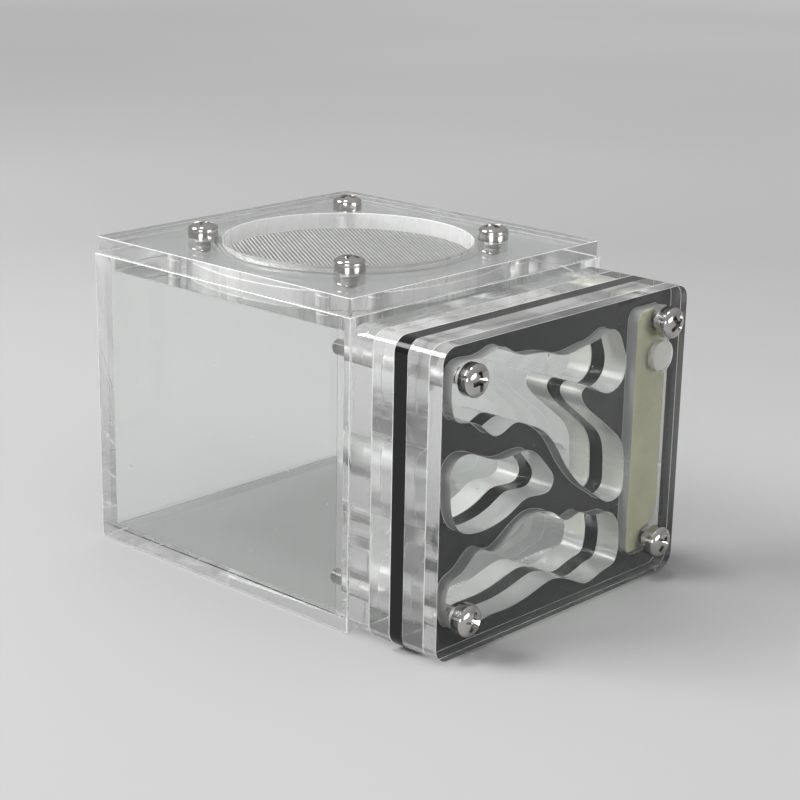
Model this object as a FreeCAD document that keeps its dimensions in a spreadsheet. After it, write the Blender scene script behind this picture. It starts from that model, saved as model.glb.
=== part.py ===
import FreeCAD, Part
import math
import os
import Sketcher
from FreeCAD import Placement, Rotation, Vector

# Desktop ant habitat: an open box of clear plates with a meshed lid, and a nest of
# five stacked plates screwed onto the front wall of the box.
# Millimetres. Origin: centre of the floor's underside. +X runs right along the nest's
# face, +Y towards the back wall, +Z up.

DOC = FreeCAD.newDocument("AntHabitat")

SIZES = [
    ("box_width", 70.0, "outside width of the box"),
    ("box_depth", 70.0, "outside depth of the box"),
    ("box_height", 59.0, "floor underside to rim"),
    ("wall_thickness", 3.0, "box walls"),
    ("floor_thickness", 3.0, "box floor"),
    ("plate_joint", 0.05, "fine gap where two plates lie against each other"),
    ("lid_thickness", 3.3, "lid's top plate"),
    ("lid_inset", 0.3, "lid edge inside the box's outer face"),
    ("lid_corner_radius", 0.8, "lid's top plate"),
    ("inner_plate_thickness", 3.0, "plate that drops inside the rim"),
    ("inner_plate_clearance", 0.3, "inner plate to box walls"),
    ("inner_plate_corner_radius", 0.8, "inner plate"),
    ("vent_radius", 24.5, "round vent through both lid plates"),
    ("mesh_thickness", 0.4, "woven mesh"),
    ("lid_screw_margin", 3.8, "lid screws' axes outside the vent's edge"),
    ("mesh_screw_gap", 0.4, "mesh rim, clamped between the lid plates, to the screws"),
    ("mesh_bar", 1.1, "bars of the mesh's grid"),
    ("lid_screw_length", 8.0, "under the head"),
    ("nest_side_inset", 0.4, "nest's side edges inside the box's outer faces"),
    ("nest_rim_drop", 1.4, "nest's upper edge below the box's rim"),
    ("nest_ground_gap", 0.4, "nest's lower edge above the ground"),
    ("nest_corner_radius", 3.0, "nest plates"),
    ("back_plate_thickness", 5.0, "plate against the box"),
    ("rear_chamber_thickness", 5.0, "clear chamber plate behind the black one"),
    ("black_plate_thickness", 3.0, "black chamber plate"),
    ("front_chamber_thickness", 5.0, "clear chamber plate in front of the black one"),
    ("cover_thickness", 3.0, "front cover"),
    ("field_left", 4.4, "chambers from the nest's left edge"),
    ("field_bottom", 2.9, "chambers from the nest's lower edge"),
    ("field_top", 3.0, "chambers from the nest's upper edge"),
    ("web_width", 2.1, "wall between the chambers and the slot"),
    ("slot_width", 10.0, "hydration slot"),
    ("slot_right", 3.2, "slot from the nest's right edge"),
    ("slot_bottom", 4.8, "slot from the nest's lower edge"),
    ("slot_top", 3.6, "slot from the nest's upper edge"),
    ("slot_corner_radius", 2.4, "hydration slot"),
    ("pad_clearance", 0.2, "hydration pad to the slot and plates"),
    ("pad_corner_side", 4.6, "pad's cut corners, along X"),
    ("pad_corner_rise", 8.0, "pad's cut corners, along Z"),
    ("pad_screw_gap", 0.4, "pad to the screws"),
    ("passage_radius", 4.0, "ants' way from the box to the nest"),
    ("screw_radius", 1.5, "M3 shank"),
    ("screw_tip", 0.5, "chamfer at the shank's end"),
    ("screw_hole_gap", 0.2, "clearance holes, radial"),
    ("thread_gap", 0.05, "threaded holes, radial"),
    ("head_radius", 3.0, "pan head"),
    ("head_height", 3.0, "pan head"),
    ("head_side", 1.8, "straight side of the pan head"),
    ("recess_span", 3.7, "cross recess, tip to tip"),
    ("recess_width", 0.9, "cross recess, arm width"),
    ("recess_depth", 1.7, "cross recess"),
    ("nest_screw_length", 30.0, "under the head"),
    ("nest_screw_wall_gap", 4.0, "nest screws' axes from the side walls' inner faces"),
    ("nest_screw_lid_gap", 4.35, "upper nest screws' axes below the lid's inner plate"),
    ("nest_screw_floor_gap", 4.5, "lower nest screws' axes above the box's floor"),
    ("port_radius", 3.0, "water port through the front cover"),
    ("port_drop", 6.8, "port centre below the upper right screw"),
    ("plug_gap", 0.05, "plug in its port, radial"),
    ("plug_recess", 0.2, "plug's ends below the cover's faces"),
    ("plug_chamfer", 0.3, "plug's rims"),
]

SHEET = DOC.addObject("Spreadsheet::Sheet", "sizes")
for row, (alias, number, note) in enumerate(SIZES, start=1):
    SHEET.set(f"A{row}", note)
    SHEET.set(f"B{row}", str(number))
    SHEET.setAlias(f"B{row}", alias)
DOC.recompute()

# Outlines of the three chambers, in hundredths of the chamber field's width and height.
TOP_CHAMBER = [
    (0, 84), (0, 93), (2.2, 97), (7, 98.5), (14, 98), (20, 99), (25, 100), (30, 98), (37, 95),
    (47, 94), (55, 92), (63, 90.5), (71, 91.5), (81, 93), (88, 95), (92.5, 93), (95.5, 88),
    (98, 81), (97, 76), (93, 72.5), (88, 71.5), (83, 73), (78, 75.5), (74, 76.5), (71.5, 74.5),
    (72.5, 71.5), (77, 67), (84, 62), (90, 57.5), (96, 52.5), (99, 47), (100, 38), (99, 31),
    (94.5, 29), (90, 29.5), (84, 33), (76, 38), (69, 44), (64, 49.5), (59, 56.5), (53, 63),
    (47, 67), (41, 69.5), (34, 71.5), (29, 70), (23.5, 69), (19, 71.5), (14, 75), (7.5, 77),
    (2, 79),
]
MIDDLE_CHAMBER = [
    (0, 56), (1, 62), (3.5, 64.5), (8.5, 65.5), (15.5, 63.5), (21.5, 61), (29, 59.5), (38, 60),
    (44, 59), (49, 55.5), (54, 50.5), (57, 45.5), (55.5, 42.5), (51, 41.5), (41, 42),
    (35, 39.5), (27.5, 37), (19.5, 36), (11.5, 36.5), (5.5, 39), (2, 44), (0.5, 50),
]
BOTTOM_CHAMBER = [
    (0, 10), (0, 18), (2, 21), (7, 23), (12, 26.5), (17.5, 29), (22.5, 27), (27, 26.5),
    (33, 29), (40, 33), (46, 35), (52.5, 34.5), (59, 32), (65.5, 28), (69, 28), (73, 29),
    (78.5, 27), (85, 25.5), (91, 25), (96, 22), (98.5, 17), (99, 9), (96.5, 3.5), (92, 2.5),
    (86, 1), (80, 0), (73, 2.5), (66, 5.5), (60, 7), (52, 6), (43, 4), (33, 3), (22, 3),
    (14, 2), (6.5, 2), (2, 4.5),
]

PASSAGE_SPOT = (90, 38)

# Openings of the vent mesh's grid, across its middle.
MESH_CELLS = 12

# Expressions that several pieces share. Those of the nest count from its middle.
RIM = "sizes.box_height"
LID_BOTTOM = f"({RIM} + sizes.plate_joint)"
INNER_PLATE_TOP = f"({LID_BOTTOM} - sizes.mesh_thickness)"
INNER_PLATE_BOTTOM = f"({INNER_PLATE_TOP} - sizes.inner_plate_thickness)"
LID_SCREW_OFFSET = "((sizes.vent_radius + sizes.lid_screw_margin) / sqrt(2))"
MESH_RADIUS = "(sizes.vent_radius + sizes.lid_screw_margin - sizes.screw_radius" \
              " - sizes.mesh_screw_gap)"
BOX_FRONT = "(-sizes.box_depth / 2)"
WALL_BASE = "(sizes.floor_thickness + sizes.plate_joint)"
WALL_HEIGHT = f"({RIM} - {WALL_BASE})"
NEST_WIDTH = "(sizes.box_width - 2 * sizes.nest_side_inset)"
NEST_HEIGHT = f"({RIM} - sizes.nest_rim_drop - sizes.nest_ground_gap)"
NEST_MIDDLE = f"(sizes.nest_ground_gap + {NEST_HEIGHT} / 2)"
SCREW_X = "(sizes.box_width / 2 - sizes.wall_thickness - sizes.nest_screw_wall_gap)"
UPPER_SCREW = f"({INNER_PLATE_BOTTOM} - sizes.nest_screw_lid_gap - {NEST_MIDDLE})"
LOWER_SCREW = f"(sizes.floor_thickness + sizes.nest_screw_floor_gap - {NEST_MIDDLE})"
SLOT_X = f"({NEST_WIDTH} / 2 - sizes.slot_right - sizes.slot_width / 2)"
SLOT_Z = "((sizes.slot_bottom - sizes.slot_top) / 2)"
SLOT_HEIGHT = f"({NEST_HEIGHT} - sizes.slot_bottom - sizes.slot_top)"
FIELD_LEFT = f"(sizes.field_left - {NEST_WIDTH} / 2)"
FIELD_RIGHT = f"({SLOT_X} - sizes.slot_width / 2 - sizes.web_width)"
FIELD_BOTTOM = f"(sizes.field_bottom - {NEST_HEIGHT} / 2)"
FIELD_TOP = f"({NEST_HEIGHT} / 2 - sizes.field_top)"
PASSAGE_X = f"({FIELD_LEFT} + ({FIELD_RIGHT} - {FIELD_LEFT}) * {PASSAGE_SPOT[0]} / 100)"
PASSAGE_Z = f"({FIELD_BOTTOM} + ({FIELD_TOP} - {FIELD_BOTTOM}) * {PASSAGE_SPOT[1]} / 100)"
CLEARANCE_HOLE = "(sizes.screw_radius + sizes.screw_hole_gap)"
THREADED_HOLE = "(sizes.screw_radius + sizes.thread_gap)"
PORT_Z = f"({UPPER_SCREW} - sizes.port_drop)"

NODES = []


def value(expression):
    return float(SHEET.evalExpression(expression))


def new_body(label):
    body = DOC.addObject("PartDesign::Body", label)
    body.Label = label
    NODES.append(body)
    return body


def put(body, axis, expression):
    body.setExpression(f"Placement.Base.{axis}", expression)


def new_sketch(body, name, role):
    sketch = body.newObject("Sketcher::SketchObject", name)
    plane = next(f for f in body.Origin.OriginFeatures if f.Role == role)
    sketch.AttachmentSupport = (plane, [""])
    sketch.MapMode = "FlatFace"
    return sketch


def bind(sketch, name, constraint, expression):
    """Adds a driving constraint whose value follows the sheet."""
    index = sketch.addConstraint(constraint)
    sketch.renameConstraint(index, name)
    sketch.setExpression(f"Constraints.{name}", expression)


def hold_point(sketch, name, geometry, point, x_expression, z_expression):
    """Ties a point to the sketch's origin along both axes."""
    for kind, letter, expression in (("DistanceX", "x", x_expression),
                                     ("DistanceY", "z", z_expression)):
        distance = value(expression)
        if abs(distance) < 1e-9:
            axis = -2 if kind == "DistanceX" else -1
            sketch.addConstraint(Sketcher.Constraint("PointOnObject", geometry, point, axis))
        elif distance > 0:
            rule = Sketcher.Constraint(kind, -1, 1, geometry, point, distance)
            bind(sketch, f"{name}_{letter}", rule, expression)
        else:
            rule = Sketcher.Constraint(kind, geometry, point, -1, 1, -distance)
            bind(sketch, f"{name}_{letter}", rule, f"-({expression})")


def add_circle(sketch, name, x_expression, z_expression, radius_expression):
    centre = Vector(value(x_expression), value(z_expression), 0)
    circle = Part.Circle(centre, Vector(0, 0, 1), value(radius_expression))
    index = sketch.addGeometry(circle, False)
    hold_point(sketch, name, index, 3, x_expression, z_expression)
    radius = Sketcher.Constraint("Radius", index, value(radius_expression))
    bind(sketch, f"{name}_radius", radius, radius_expression)


def add_rectangle(sketch, name, width, height, middle=("0", "0")):
    """Sharp-cornered rectangle about a middle point."""
    half_x, half_z = value(width) / 2, value(height) / 2
    x, z = value(middle[0]), value(middle[1])
    corners = [Vector(x - half_x, z - half_z, 0), Vector(x + half_x, z - half_z, 0),
               Vector(x + half_x, z + half_z, 0), Vector(x - half_x, z + half_z, 0)]
    lines = [sketch.addGeometry(Part.LineSegment(corners[i], corners[(i + 1) % 4]), False)
             for i in range(4)]
    for i in range(4):
        sketch.addConstraint(Sketcher.Constraint("Coincident", lines[i], 2, lines[(i + 1) % 4], 1))
    for i in (0, 2):
        sketch.addConstraint(Sketcher.Constraint("Horizontal", lines[i]))
        sketch.addConstraint(Sketcher.Constraint("Vertical", lines[i + 1]))
    bind(sketch, f"{name}_width",
         Sketcher.Constraint("DistanceX", lines[0], 1, lines[0], 2, 2 * half_x), width)
    bind(sketch, f"{name}_height",
         Sketcher.Constraint("DistanceY", lines[1], 1, lines[1], 2, 2 * half_z), height)
    hold_point(sketch, f"{name}_corner", lines[0], 2,
               f"{middle[0]} + {width} / 2", f"{middle[1]} - {height} / 2")


def add_rounded_rectangle(sketch, name, width, height, radius, middle=("0", "0")):
    """Rectangle with four equal corner arcs, about a middle point."""
    r = value(radius)
    x, z = value(middle[0]), value(middle[1])
    inner_x, inner_z = value(width) / 2 - r, value(height) / 2 - r
    centres = [Vector(x + inner_x, z - inner_z, 0), Vector(x + inner_x, z + inner_z, 0),
               Vector(x - inner_x, z + inner_z, 0), Vector(x - inner_x, z - inner_z, 0)]
    starts = [-math.pi / 2, 0.0, math.pi / 2, math.pi]
    arcs = []
    for centre, start in zip(centres, starts):
        circle = Part.Circle(centre, Vector(0, 0, 1), r)
        arcs.append(sketch.addGeometry(Part.ArcOfCircle(circle, start, start + math.pi / 2), False))
    lines = []
    for i in range(4):
        before, after = centres[i - 1], centres[i]
        out = Vector(math.cos(starts[i]), math.sin(starts[i]), 0) * r
        lines.append(sketch.addGeometry(Part.LineSegment(before + out, after + out), False))
    for i in range(4):
        sketch.addConstraint(Sketcher.Constraint("Tangent", arcs[i - 1], 2, lines[i], 1))
        sketch.addConstraint(Sketcher.Constraint("Tangent", lines[i], 2, arcs[i], 1))
    for i in range(1, 4):
        sketch.addConstraint(Sketcher.Constraint("Equal", arcs[0], arcs[i]))
    for i in (0, 2):
        sketch.addConstraint(Sketcher.Constraint("Horizontal", lines[i]))
    sketch.addConstraint(Sketcher.Constraint("Vertical", lines[1]))
    bind(sketch, f"{name}_radius", Sketcher.Constraint("Radius", arcs[0], r), radius)
    bind(sketch, f"{name}_straight",
         Sketcher.Constraint("DistanceX", arcs[3], 3, arcs[0], 3, 2 * inner_x),
         f"{width} - 2 * {radius}")
    bind(sketch, f"{name}_upright",
         Sketcher.Constraint("DistanceY", arcs[0], 3, arcs[1], 3, 2 * inner_z),
         f"{height} - 2 * {radius}")
    hold_point(sketch, f"{name}_corner", arcs[0], 3,
               f"{middle[0]} + {width} / 2 - {radius}",
               f"{middle[1]} - {height} / 2 + {radius}")


def add_polyline(sketch, corners, closed):
    """Straight lines from corner to corner; returns the last line's index."""
    points = [Vector(value(x), value(z), 0) for x, z in corners]
    count = len(corners) if closed else len(corners) - 1
    for i in range(count):
        following = points[(i + 1) % len(points)]
        line = sketch.addGeometry(Part.LineSegment(points[i], following), False)
        if i:
            sketch.addConstraint(Sketcher.Constraint("Coincident", line - 1, 2, line, 1))
        hold_point(sketch, f"corner{i}", line, 1, *corners[i])
    if closed:
        sketch.addConstraint(Sketcher.Constraint("Coincident", line, 2, line - count + 1, 1))
    else:
        hold_point(sketch, "last_corner", line, 2, *corners[-1])
    return line


def add_chamber(sketch, outline):
    """Closed curve through an outline given in hundredths of the chamber field."""
    left, right = value(FIELD_LEFT), value(FIELD_RIGHT)
    bottom, top = value(FIELD_BOTTOM), value(FIELD_TOP)
    points = [Vector(left + (right - left) * u / 100, bottom + (top - bottom) * v / 100, 0)
              for u, v in outline]
    curve = Part.BSplineCurve()
    curve.interpolate(points, PeriodicFlag=True)
    sketch.addGeometry(curve, False)


def extrude(body, sketch, thickness, name):
    feature = body.newObject("PartDesign::Pad", name)
    feature.Profile = sketch
    feature.setExpression("Length", thickness)
    body.Tip = feature
    return feature


def pocket_through(body, sketch, name):
    """Cuts the sketch right through the body, towards both sides of its plane."""
    feature = body.newObject("PartDesign::Pocket", name)
    feature.Profile = sketch
    feature.Type = "ThroughAll"
    feature.Midplane = True
    body.Tip = feature


def add_screw_circles(sketch, radius, raised="0"):
    """The four nest screws, on a sketch whose origin is raised above the nest's middle."""
    for side, x_sign in (("left", "-"), ("right", "")):
        for level, height in (("upper", UPPER_SCREW), ("lower", LOWER_SCREW)):
            add_circle(sketch, f"{level}_{side}", f"{x_sign}{SCREW_X}", f"({height} - {raised})",
                       radius)


# ---- the box ---------------------------------------------------------------------------

def make_floor():
    body = new_body("floor_plate")
    sketch = new_sketch(body, "FloorOutline", "XY_Plane")
    add_rectangle(sketch, "floor", "sizes.box_width", "sizes.box_depth")
    extrude(body, sketch, "sizes.floor_thickness", "FloorPad")


def make_side_walls():
    depth = "(sizes.box_depth - 2 * sizes.wall_thickness - 2 * sizes.plate_joint)"
    for label, inner in (("left_wall", "-sizes.box_width / 2"),
                         ("right_wall", "sizes.box_width / 2 - sizes.wall_thickness")):
        body = new_body(label)
        sketch = new_sketch(body, label + "_outline", "YZ_Plane")
        add_rectangle(sketch, "wall", depth, WALL_HEIGHT)
        extrude(body, sketch, "sizes.wall_thickness", label + "_pad")
        put(body, "x", inner)
        put(body, "z", f"{WALL_BASE} + {WALL_HEIGHT} / 2")


def make_back_wall():
    body = new_body("back_wall")
    sketch = new_sketch(body, "BackWallOutline", "XZ_Plane")
    add_rectangle(sketch, "wall", "sizes.box_width", WALL_HEIGHT)
    extrude(body, sketch, "sizes.wall_thickness", "BackWallPad")
    put(body, "y", "sizes.box_depth / 2")
    put(body, "z", f"{WALL_BASE} + {WALL_HEIGHT} / 2")


def make_front_wall():
    """Carries the nest: four threaded holes, and the passage into the nest."""
    middle = f"({WALL_BASE} + {WALL_HEIGHT} / 2)"
    raised = f"({middle} - {NEST_MIDDLE})"
    body = new_body("front_wall")
    sketch = new_sketch(body, "FrontWallOutline", "XZ_Plane")
    add_rectangle(sketch, "wall", "sizes.box_width", WALL_HEIGHT)
    add_screw_circles(sketch, THREADED_HOLE, raised)
    add_circle(sketch, "passage", PASSAGE_X, f"({PASSAGE_Z} - {raised})", "sizes.passage_radius")
    extrude(body, sketch, "sizes.wall_thickness", "FrontWallPad")
    put(body, "y", f"{BOX_FRONT} + sizes.wall_thickness")
    put(body, "z", middle)


# ---- the lid ---------------------------------------------------------------------------

def add_lid_holes(sketch, radius):
    add_circle(sketch, "vent", "0", "0", "sizes.vent_radius")
    for number, (x_sign, y_sign) in enumerate((("", ""), ("", "-"), ("-", ""), ("-", "-"))):
        add_circle(sketch, f"screw{number}", f"{x_sign}{LID_SCREW_OFFSET}",
                   f"{y_sign}{LID_SCREW_OFFSET}", radius)


def make_lid_top_plate():
    body = new_body("lid_top_plate")
    sketch = new_sketch(body, "LidOutline", "XY_Plane")
    add_rounded_rectangle(sketch, "lid", "(sizes.box_width - 2 * sizes.lid_inset)",
                          "(sizes.box_depth - 2 * sizes.lid_inset)", "sizes.lid_corner_radius")
    add_lid_holes(sketch, CLEARANCE_HOLE)
    extrude(body, sketch, "sizes.lid_thickness", "LidPad")
    put(body, "z", LID_BOTTOM)


def make_lid_inner_plate():
    """Drops inside the walls, so that the lid can't slide off, and clamps the mesh."""
    inside = "2 * (sizes.wall_thickness + sizes.inner_plate_clearance)"
    body = new_body("lid_inner_plate")
    sketch = new_sketch(body, "InnerPlateOutline", "XY_Plane")
    add_rounded_rectangle(sketch, "inner", f"(sizes.box_width - {inside})",
                          f"(sizes.box_depth - {inside})", "sizes.inner_plate_corner_radius")
    add_lid_holes(sketch, THREADED_HOLE)
    extrude(body, sketch, "sizes.inner_plate_thickness", "InnerPlatePad")
    put(body, "z", INNER_PLATE_BOTTOM)


def make_vent_mesh():
    """A rim between the lid plates and a plain grid of bars, which stands for woven wire."""
    body = new_body("vent_mesh")
    rim = new_sketch(body, "MeshRim", "XY_Plane")
    add_circle(rim, "rim", "0", "0", MESH_RADIUS)
    add_circle(rim, "opening", "0", "0", "sizes.vent_radius")
    extrude(body, rim, "sizes.mesh_thickness", "MeshRimPad")
    along_x = new_sketch(body, "MeshBarsAlongX", "XY_Plane")
    along_y = new_sketch(body, "MeshBarsAlongY", "XY_Plane")
    for i in range(1, MESH_CELLS):
        offset = f"(2 * sizes.vent_radius * {i} / {MESH_CELLS} - sizes.vent_radius)"
        length = f"(2 * sqrt({MESH_RADIUS} ^ 2 - (abs({offset}) + sizes.mesh_bar / 2) ^ 2))"
        add_rectangle(along_x, f"bar{i}", length, "sizes.mesh_bar", ("0", offset))
        add_rectangle(along_y, f"bar{i}", "sizes.mesh_bar", length, (offset, "0"))
    extrude(body, along_x, "sizes.mesh_thickness", "MeshBarsAlongXPad")
    extrude(body, along_y, "sizes.mesh_thickness", "MeshBarsAlongYPad")
    put(body, "z", INNER_PLATE_TOP)


# ---- the screws ------------------------------------------------------------------------

def add_screw_profile(sketch, length):
    """Half section of a pan-head screw: the head's underside lies on the sketch's X axis."""
    last = add_polyline(sketch, [("0", f"-{length}"),
                                 ("(sizes.screw_radius - sizes.screw_tip)", f"-{length}"),
                                 ("sizes.screw_radius", f"(sizes.screw_tip - {length})"),
                                 ("sizes.screw_radius", "0"),
                                 ("sizes.head_radius", "0"),
                                 ("sizes.head_radius", "sizes.head_side")], closed=False)
    rim_x, rim_z, top = (value("sizes." + n) for n in ("head_radius", "head_side", "head_height"))
    centre_z = (top ** 2 - rim_z ** 2 - rim_x ** 2) / (2 * (top - rim_z))
    circle = Part.Circle(Vector(0, centre_z, 0), Vector(0, 0, 1), top - centre_z)
    rim_angle = math.atan2(rim_z - centre_z, rim_x)
    dome = sketch.addGeometry(Part.ArcOfCircle(circle, rim_angle, math.pi / 2), False)
    foot = Vector(0, -value(length), 0)
    axis = sketch.addGeometry(Part.LineSegment(Vector(0, top, 0), foot), False)
    sketch.addConstraint(Sketcher.Constraint("Coincident", last, 2, dome, 1))
    sketch.addConstraint(Sketcher.Constraint("Coincident", dome, 2, axis, 1))
    sketch.addConstraint(Sketcher.Constraint("Coincident", axis, 2, 0, 1))
    sketch.addConstraint(Sketcher.Constraint("PointOnObject", dome, 3, -2))
    hold_point(sketch, "crown", axis, 1, "0", "sizes.head_height")


def cut_recess(body, label):
    """Cross recess: two crossing slots in the crown of the head."""
    for name, width, height in (("long", "sizes.recess_span", "sizes.recess_width"),
                                ("cross", "sizes.recess_width", "sizes.recess_span")):
        sketch = new_sketch(body, f"{label}_{name}_slot", "XY_Plane")
        sketch.setExpression("AttachmentOffset.Base.z", "sizes.head_height")
        add_rectangle(sketch, name, width, height)
        DOC.recompute()
        before = body.Shape.Volume
        feature = body.newObject("PartDesign::Pocket", f"{label}_{name}_recess")
        feature.Profile = sketch
        feature.setExpression("Length", "sizes.recess_depth")
        body.Tip = feature
        DOC.recompute()
        if body.Shape.Volume >= before:
            raise RuntimeError(f"{label}: recess cut nothing")


def make_screw(label, length, x, y, z, turn):
    """Pan-head screw at a seat, its shank turned from pointing down by the given rotation."""
    body = new_body(label)
    sketch = new_sketch(body, label + "_profile", "XZ_Plane")
    add_screw_profile(sketch, length)
    revolution = body.newObject("PartDesign::Revolution", label + "_turned")
    revolution.Profile = sketch
    revolution.ReferenceAxis = (sketch, ["V_Axis"])
    revolution.Angle = 360
    body.Tip = revolution
    cut_recess(body, label)
    body.Placement = Placement(Vector(value(x), value(y), value(z)), turn)
    for axis, expression in (("x", x), ("y", y), ("z", z)):
        put(body, axis, expression)


def make_lid_screws():
    seat = f"{LID_BOTTOM} + sizes.lid_thickness"
    upright = Rotation(Vector(0, 0, 1), 45)
    for row, y_sign in (("front", "-"), ("back", "")):
        for side, x_sign in (("left", "-"), ("right", "")):
            make_screw(f"lid_screw_{row}_{side}", "sizes.lid_screw_length",
                       f"{x_sign}{LID_SCREW_OFFSET}", f"{y_sign}{LID_SCREW_OFFSET}",
                       seat, upright)


def make_nest_screws(seat):
    """The shanks run from the cover through the whole nest into the box's front wall."""
    lying = Rotation(Vector(1, 0, 0), 90)
    for level, height in (("top", UPPER_SCREW), ("bottom", LOWER_SCREW)):
        for side, x_sign in (("left", "-"), ("right", "")):
            make_screw(f"nest_screw_{level}_{side}", "sizes.nest_screw_length",
                       f"{x_sign}{SCREW_X}", seat, f"{NEST_MIDDLE} + {height}", lying)


# ---- the nest --------------------------------------------------------------------------

def nest_plate(label, back, thickness, add_openings):
    """A plate of the stack, drawn about the nest's middle; its back face lies at back."""
    body = new_body(label)
    sketch = new_sketch(body, label + "_outline", "XZ_Plane")
    add_rounded_rectangle(sketch, "plate", NEST_WIDTH, NEST_HEIGHT, "sizes.nest_corner_radius")
    add_openings(sketch)
    extrude(body, sketch, thickness, label + "_pad")
    holes = new_sketch(body, label + "_holes", "XZ_Plane")
    add_screw_circles(holes, CLEARANCE_HOLE)
    pocket_through(body, holes, label + "_screw_holes")
    put(body, "y", back)
    put(body, "z", NEST_MIDDLE)


def back_plate_openings(sketch):
    add_circle(sketch, "passage", PASSAGE_X, PASSAGE_Z, "sizes.passage_radius")


def chamber_openings(sketch):
    """Three chambers and the slot; the screws pass through their ends."""
    for outline in (TOP_CHAMBER, MIDDLE_CHAMBER, BOTTOM_CHAMBER):
        add_chamber(sketch, outline)
    add_rounded_rectangle(sketch, "slot", "sizes.slot_width", SLOT_HEIGHT,
                          "sizes.slot_corner_radius", (SLOT_X, SLOT_Z))


def cover_openings(sketch):
    add_circle(sketch, "port", SCREW_X, PORT_Z, "sizes.port_radius")


def make_nest_plates():
    """Stacks the five plates forwards from the box; returns the cover's front face."""
    stack = [("nest_back_plate", "sizes.back_plate_thickness", back_plate_openings),
             ("rear_chamber_plate", "sizes.rear_chamber_thickness", chamber_openings),
             ("black_chamber_plate", "sizes.black_plate_thickness", chamber_openings),
             ("front_chamber_plate", "sizes.front_chamber_thickness", chamber_openings),
             ("nest_cover", "sizes.cover_thickness", cover_openings)]
    face = BOX_FRONT
    for label, thickness, openings in stack:
        back = f"{face} - sizes.plate_joint"
        nest_plate(label, back, thickness, openings)
        face = f"{back} - {thickness}"
    return face


def make_hydration_pad():
    """Absorbent pad that fills the slot: left corners rounded, right ones cut off at the screws."""
    side = "(sizes.slot_width / 2 - sizes.pad_clearance)"
    cut_side = f"({side} - sizes.pad_corner_side)"
    end = f"({SLOT_HEIGHT} / 2 - sizes.pad_clearance)"
    cut_end = f"({end} - sizes.pad_corner_rise)"
    body = new_body("hydration_pad")
    sketch = new_sketch(body, "PadOutline", "XZ_Plane")
    add_polyline(sketch, [(f"-{side}", f"-{end}"), (cut_side, f"-{end}"), (side, f"-{cut_end}"),
                          (side, cut_end), (cut_side, end), (f"-{side}", end)], closed=True)
    block = extrude(body, sketch, "(sizes.rear_chamber_thickness + sizes.black_plate_thickness"
                    " + sizes.front_chamber_thickness - 2 * sizes.pad_clearance)", "PadBlock")
    DOC.recompute()
    left = -value(side)
    corners = [f"Edge{i}" for i, edge in enumerate(block.Shape.Edges, start=1)
               if abs(edge.tangentAt(edge.FirstParameter).y) > 0.9
               and abs(edge.CenterOfMass.x - left) < 1e-6]
    fillet = body.newObject("PartDesign::Fillet", "PadLeftCorners")
    fillet.Base = (block, corners)
    fillet.setExpression("Radius", "(sizes.slot_corner_radius - sizes.pad_clearance)")
    body.Tip = fillet
    relief = new_sketch(body, "PadScrewRelief", "XZ_Plane")
    for level, height in (("upper", UPPER_SCREW), ("lower", LOWER_SCREW)):
        add_circle(relief, level, f"({SCREW_X} - {SLOT_X})", f"({height} - {SLOT_Z})",
                   "(sizes.screw_radius + sizes.pad_screw_gap)")
    pocket_through(body, relief, "ScrewRelief")
    put(body, "x", SLOT_X)
    put(body, "y", f"{BOX_FRONT} - sizes.back_plate_thickness - 2 * sizes.plate_joint"
                   " - sizes.pad_clearance")
    put(body, "z", f"{NEST_MIDDLE} + {SLOT_Z}")


def make_port_plug(cover_face):
    """Soft plug, flush in the cover's water port."""
    body = new_body("water_port_plug")
    sketch = new_sketch(body, "PlugOutline", "XZ_Plane")
    add_circle(sketch, "plug", "0", "0", "(sizes.port_radius - sizes.plug_gap)")
    feature = extrude(body, sketch, "(sizes.cover_thickness - 2 * sizes.plug_recess)", "PlugPad")
    DOC.recompute()
    rims = [f"Edge{i}" for i, edge in enumerate(feature.Shape.Edges, start=1)
            if edge.isClosed()]
    chamfer = body.newObject("PartDesign::Chamfer", "PlugRims")
    chamfer.Base = (feature, rims)
    chamfer.setExpression("Size", "sizes.plug_chamfer")
    body.Tip = chamfer
    put(body, "x", SCREW_X)
    put(body, "y", f"{cover_face} + sizes.cover_thickness - sizes.plug_recess")
    put(body, "z", f"{NEST_MIDDLE} + {PORT_Z}")


def check_and_export():
    DOC.recompute()
    for item in DOC.Objects:
        if "Invalid" in item.State or "Error" in item.State:
            raise RuntimeError(f"{item.Label} failed: {item.State}")
    os.makedirs("parts", exist_ok=True)
    for node in NODES:
        shape = node.Shape
        if shape.isNull() or not shape.isValid() or len(shape.Solids) != 1:
            raise RuntimeError(f"{node.Label} is not one valid solid")
        shape.exportStep(f"parts/{node.Label}.step")
        print(f"{node.Label:26s} {shape.Volume:10.1f} mm3")


make_floor()
make_side_walls()
make_back_wall()
make_front_wall()
make_lid_top_plate()
make_lid_inner_plate()
make_vent_mesh()
make_lid_screws()
COVER_FACE = make_nest_plates()
make_nest_screws(COVER_FACE)
make_hydration_pad()
make_port_plug(COVER_FACE)
check_and_export()
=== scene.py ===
# %% [markdown]
# # A clear ant habitat, plate by plate
#
# The real object is a box and a nest made of clear acrylic sheet. The sizes, the joints and the
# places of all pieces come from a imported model, which is loaded here as a fixed frame. Every
# plain piece of it is replaced by a detailed mesh in the same place, with a finish of its own:
# plates with broken edges, threaded screws, woven wire, a damp sponge.

# %% Load the frame
import math

import bmesh
import bpy
from mathutils import Matrix, Quaternion, Vector, noise


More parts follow.
